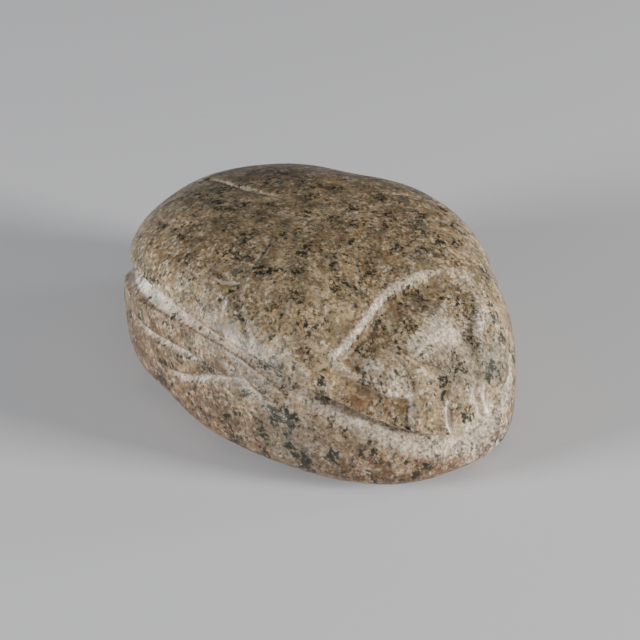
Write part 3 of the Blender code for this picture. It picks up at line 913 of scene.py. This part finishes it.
def mixed(tree, share, first, second, blend="MIX"):
    """The first colour with that share of the second over it."""
    inputs = {0: share, 6: first, 7: second}
    return add_node(tree, "ShaderNodeMix", inputs, data_type="RGBA", blend_type=blend).outputs[2]


def scaled(tree, vector, factor):
    inputs = {0: vector, "Scale": factor}
    return add_node(tree, "ShaderNodeVectorMath", inputs, operation="SCALE").outputs[0]


def added(tree, first, second):
    """The sum of two vectors."""
    return add_node(tree, "ShaderNodeVectorMath", {0: first, 1: second}, operation="ADD").outputs[0]


def soft_noise(tree, place, size, detail=2.0, roughness=0.5, moved=0.0):
    """Noise between about 0 and 1 with spots of that size, moved along so that no two agree."""
    place = added(tree, place, (moved, moved, moved))
    inputs = {"Vector": place, "Scale": 1.0 / size, "Detail": detail, "Roughness": roughness}
    return add_node(tree, "ShaderNodeTexNoise", inputs).outputs[0]


def mask_of(tree, name):
    return add_node(tree, "ShaderNodeAttribute", attribute_name=name).outputs["Fac"]


def grains_group():
    """Ragged mineral grains of one size: a mask of those that are picked, and a shade for each grain."""
    group = bpy.data.node_groups.new("mineral grains", "ShaderNodeTree")
    group.interface.new_socket("Place", in_out="INPUT", socket_type="NodeSocketVector")
    for name in ("Size", "Share", "Fill", "Seed"):
        group.interface.new_socket(name, in_out="INPUT", socket_type="NodeSocketFloat")
    for name in ("Mask", "Shade"):
        group.interface.new_socket(name, in_out="OUTPUT", socket_type="NodeSocketFloat")
    given = group.nodes.new("NodeGroupInput").outputs
    per_grain = scaled(group, given["Place"], maths(group, "DIVIDE", 1.0, given["Size"]))
    seed = add_node(group, "ShaderNodeCombineXYZ", {axis: given["Seed"] for axis in "XYZ"}).outputs[0]
    seeded = added(group, per_grain, seed)
    inputs = {"Vector": seeded, "Scale": GRAIN_RAG_SCALE, "Detail": 2.0}
    ragged = add_node(group, "ShaderNodeTexNoise", inputs).outputs["Color"]
    centred = added(group, ragged, (-0.5, -0.5, -0.5))
    spread = added(group, seeded, scaled(group, centred, GRAIN_RAGGEDNESS))
    cells = add_node(group, "ShaderNodeTexVoronoi", {"Vector": spread, "Scale": 1.0}).outputs
    parts = add_node(group, "ShaderNodeSeparateColor", {0: cells["Color"]}).outputs
    picked = maths(group, "LESS_THAN", parts[0], given["Share"])
    rim = plus(group, given["Fill"], GRAIN_RIM)
    shape = eased(group, cells["Distance"], given["Fill"], rim, 1.0, 0.0)
    result = group.nodes.new("NodeGroupOutput")
    group.links.new(times(group, picked, shape), result.inputs["Mask"])
    group.links.new(parts[1], result.inputs["Shade"])
    return group


def grains(tree, group, place, size, share, fill=0.5, seed=0.0):
    """One kind of grain: its mask, and a shade for each grain."""
    inputs = {"Place": place, "Size": size, "Share": share, "Fill": fill, "Seed": seed}
    item = add_node(tree, "ShaderNodeGroup", node_tree=group)
    for name, value in inputs.items():
        if isinstance(value, bpy.types.NodeSocket):
            tree.links.new(value, item.inputs[name])
        else:
            item.inputs[name].default_value = value
    return item.outputs["Mask"], item.outputs["Shade"]


def ground_colour(tree, place, group, tones):
    """The ground of olive brown and tan, with warm grey grains and with olive and ochre patches."""
    tone = times(tree, tones["broad"], BROAD_SHARE)
    tone = plus(tree, tone, times(tree, tones["middling"], MIDDLING_SHARE))
    tone = plus(tree, tone, times(tree, tones["fine"], FINE_SHARE))
    ground = mixed(tree, eased(tree, tone, *TONE_STEP), OLIVE_BROWN, TAN)
    _, grey = grains(tree, group, place, GREY_GRAIN_SIZE, 1.0, seed=3.0)
    ground = mixed(tree, times(tree, grey, GREY_GRAIN_SHARE), ground, WARM_GREY)
    olive = eased(tree, soft_noise(tree, place, OLIVE_PATCH_SIZE, 3.0, 0.6, 13.0), *OLIVE_STEP)
    ground = mixed(tree, times(tree, olive, OLIVE_SHARE), ground, OLIVE_GREY)
    ochre = eased(tree, soft_noise(tree, place, OCHRE_PATCH_SIZE, 3.0, 0.6, 29.0), *OCHRE_STEP)
    return mixed(tree, times(tree, ochre, OCHRE_SHARE), ground, OCHRE)


def with_light_grains(tree, place, group, masks, colour):
    """The ground with pale grains, and with rusty ones that crowd where the stone is rusty."""
    share = plus(tree, times(tree, masks["base"], BASE_LIGHT_CROWDING), PALE_CROWDING)
    pale, _ = grains(tree, group, place, PALE_GRAIN_SIZE, share, seed=11.0)
    strength = eased(tree, plus(tree, masks["base"], masks["wear_and_highlight"]), *PALE_STEP)
    colour = mixed(tree, times(tree, pale, strength), colour, PALE_GRAIN)
    rust = times(tree, masks["rust"], RUST_CROWDING)
    share = plus(tree, rust, times(tree, masks["base"], BASE_LIGHT_CROWDING))
    rusty, _ = grains(tree, group, place, RUSTY_GRAIN_SIZE, plus(tree, share, RUSTY_CROWDING), seed=37.0)
    colour = mixed(tree, times(tree, rusty, RUSTY_GRAIN_SHARE), colour, RUST)
    return mixed(tree, times(tree, masks["rust"], RUST_SHARE), colour, RUST)


def dark_grains(tree, place, group, masks):
    """A mask of the ragged dark clusters and of the small dark specks between them."""
    clusters = soft_noise(tree, place, CLUSTER_SPACING, 2.0, moved=41.0)
    crowding = eased(tree, clusters, *CROWDING_STEP)
    crowding = plus(tree, crowding, times(tree, masks["green"], GREEN_CROWDING))
    crowding = plus(tree, crowding, times(tree, masks["base"], BASE_DARK_CROWDING))
    ragged = plus(tree, soft_noise(tree, place, CLUSTER_SIZE, 4.0, 0.7, 57.0), crowding)
    share = plus(tree, crowding, SPECK_CROWDING)
    specks, _ = grains(tree, group, place, SPECK_SIZE, share, SPECK_FILL, 67.0)
    return larger(tree, eased(tree, ragged, *CLUSTER_STEP), times(tree, specks, SPECK_SHARE))


def film_of_wear_and_highlight(tree, masks, patches):
    """How far a whitish film covers the stone, where it is worn or bruised and in the groove, which at the
    front and in two notches also paints highlights.
    """
    patchiness = plus(tree, times(tree, masks["base"], BASE_PATCHINESS), FILM_PATCHINESS)
    broken = times(tree, maths(tree, "SUBTRACT", patches, 0.5), patchiness)
    film = eased(tree, plus(tree, masks["wear_and_highlight"], broken), *WORN_STEP)
    film = larger(tree, film, times(tree, masks["bruised_and_glint"], eased(tree, patches, *BRUISE_STEP)))
    film = larger(tree, film, times(tree, masks["groove"], eased(tree, patches, *GROOVE_STEP)))
    kept = maths(tree, "SUBTRACT", 1.0, times(tree, masks["green"], GREEN_BARENESS))
    return times(tree, film, kept)


def weathered(tree, masks, tones, patches, film, colour):
    """The colour under its base tint, its film, the fresh cuts with the painted highlights in two notches,
    and the painted shade and dirt.
    """
    tinted = mixed(tree, 1.0, colour, BASE_TINT, "MULTIPLY")
    colour = mixed(tree, masks["base"], colour, tinted)
    colour = mixed(tree, times(tree, masks["green"], GREEN_SHARE), colour, OLIVE_GREY)
    whitened = mixed(tree, eased(tree, tones["fine"], *WHITENED_STEP), PALE_TAN, WHITENED)
    colour = mixed(tree, film, colour, whitened)
    # Fresh cuts, and the painted highlights in two notches
    fresh_and_glint = times(tree, masks["fresh_and_glint"], eased(tree, patches, *FRESH_STEP))
    colour = mixed(tree, fresh_and_glint, colour, FRESH_CUT_AND_GLINT)
    # Painted shade and dirt in hollows, in cuts and along the seam
    dirt_and_shade = larger(tree, times(tree, masks["hollow"], HOLLOW_SHADE_AND_DIRT_SHARE), times(tree, masks["seam"], SEAM_SHARE))
    dirt_and_shade = times(tree, dirt_and_shade, eased(tree, tones["middling"], *SHADE_AND_DIRT_STEP))
    return mixed(tree, dirt_and_shade, colour, DIRT_AND_SHADE_BROWN)


def shaded(tree, place, fine, colour):
    """The colour made a little lighter and darker from grain to grain and from patch to patch."""
    mottling = soft_noise(tree, place, MOTTLING_SIZE, 3.0, 0.6, 89.0)
    shade = times(tree, eased(tree, fine, *FINE_SHADE_STEP), eased(tree, mottling, *MOTTLING_STEP))
    shades = add_node(tree, "ShaderNodeCombineColor", {0: shade, 1: shade, 2: shade}).outputs[0]
    return mixed(tree, 1.0, colour, shades, "MULTIPLY")


def speckled_stone():
    """Hard stone of tan, pale, ochre and dark green grains, polished, with whitened cuts and edges, painted
    highlights at the front and painted shade with dirt in the hollows.
    """
    material = bpy.data.materials.new("speckled stone")
    material.use_nodes = True
    tree = material.node_tree
    shader = tree.nodes["Principled BSDF"]
    object_place = add_node(tree, "ShaderNodeTexCoord").outputs["Object"]
    place = scaled(tree, object_place, 1.0 / MM)
    group = grains_group()
    names = ("wear_and_highlight", "bruised_and_glint", "groove", "fresh_and_glint", "hollow", "seam", "base", "rust", "green")
    masks = {name: mask_of(tree, name) for name in names}
    tones = {
        "broad": soft_noise(tree, place, BROAD_SIZE),
        "middling": soft_noise(tree, place, MIDDLING_SIZE, 3.0, 0.6),
        "fine": soft_noise(tree, place, FINE_SIZE, 3.0, 0.65),
    }
    patches = soft_noise(tree, place, FILM_PATCH_SIZE, 4.0, 0.7, 73.0)

    colour = ground_colour(tree, place, group, tones)
    colour = with_light_grains(tree, place, group, masks, colour)
    darkness = dark_grains(tree, place, group, masks)
    film = film_of_wear_and_highlight(tree, masks, patches)
    colour = weathered(tree, masks, tones, patches, film, colour)
    seen_dark = times(tree, darkness, eased(tree, film, *DARK_STEP))
    colour = mixed(tree, seen_dark, colour, DARK_GREEN)
    colour = shaded(tree, place, tones["fine"], colour)
    tree.links.new(colour, shader.inputs["Base Color"])

    rough = plus(tree, times(tree, film, FILM_ROUGHNESS), eased(tree, tones["fine"], *ROUGHNESS_STEP))
    tree.links.new(rough, shader.inputs["Roughness"])
    shader.inputs["Specular IOR Level"].default_value = SPECULAR_LEVEL
    height = maths(tree, "SUBTRACT", tones["fine"], times(tree, darkness, DARK_SINK))
    inputs = {"Strength": BUMP_STRENGTH, "Distance": GRAIN_DEPTH * MM, "Height": height}
    bump = add_node(tree, "ShaderNodeBump", inputs)
    tree.links.new(bump.outputs[0], shader.inputs["Normal"])
    return material


def plain_material(name, colour, roughness):
    material = bpy.data.materials.new(name)
    material.use_nodes = True
    shader = material.node_tree.nodes["Principled BSDF"]
    shader.inputs["Base Color"].default_value = (*colour, 1.0)
    shader.inputs["Roughness"].default_value = roughness
    return material


def view_axes():
    """The camera's right, up and back directions."""
    around, above = math.radians(CAMERA_AZIMUTH), math.radians(CAMERA_ELEVATION)
    right = Vector((math.cos(around), math.sin(around), 0.0))
    level = Vector((math.sin(around), -math.cos(around), 0.0))
    back = level * math.cos(above) + Vector((0.0, 0.0, math.sin(above)))
    return right, back.cross(right), back


def aim(thing, place, target):
    """Puts a camera or a light at a place so that it looks at the target."""
    thing.location = place
    thing.rotation_euler = (place - target).to_track_quat("Z", "Y").to_euler()


def add_camera():
    right, up, back = view_axes()
    data = bpy.data.cameras.new("camera")
    data.lens = CAMERA_LENS
    data.sensor_width = 36.0
    camera = bpy.data.objects.new("camera", data)
    bpy.context.scene.collection.objects.link(camera)
    aim(camera, back * CAMERA_DISTANCE, right * AIM_RIGHT + up * AIM_UP)
    bpy.context.scene.camera = camera


def add_light(name, turn, height, distance, size, power, colour, seen_in_gloss=True):
    """A soft square light, turned from the camera's own side round the stone."""
    data = bpy.data.lights.new(name, "AREA")
    data.size = size
    data.energy = power
    data.color = colour
    light = bpy.data.objects.new(name, data)
    light.visible_glossy = seen_in_gloss
    bpy.context.scene.collection.objects.link(light)
    around = math.radians(CAMERA_AZIMUTH + turn)
    above = math.radians(height)
    way = Vector((math.sin(around) * math.cos(above), -math.cos(around) * math.cos(above), math.sin(above)))
    aim(light, way * distance, Vector((0.0, 0.0, 0.5 * STONE_HEIGHT * MM)))


def add_floor():
    mesh = bpy.data.meshes.new("floor")
    reach = FLOOR_REACH
    corners = [(-reach, -reach, 0.0), (reach, -reach, 0.0), (reach, reach, 0.0), (-reach, reach, 0.0)]
    mesh.from_pydata(corners, [], [(0, 1, 2, 3)])
    mesh.materials.append(plain_material("pale floor", FLOOR_COLOUR, 0.8))
    floor = bpy.data.objects.new("floor", mesh)
    bpy.context.scene.collection.objects.link(floor)


def add_world():
    world = bpy.data.worlds.new("soft room")
    world.use_nodes = True
    background = world.node_tree.nodes["Background"]
    background.inputs["Color"].default_value = ROOM_COLOUR
    background.inputs["Strength"].default_value = ROOM_STRENGTH
    bpy.context.scene.world = world


piece = stone_piece(speckled_stone())
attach(piece, "root")
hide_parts("scarab")
add_floor()
add_world()
add_camera()
for light in LIGHTS:
    add_light(**light)

bpy.context.view_layer.update()
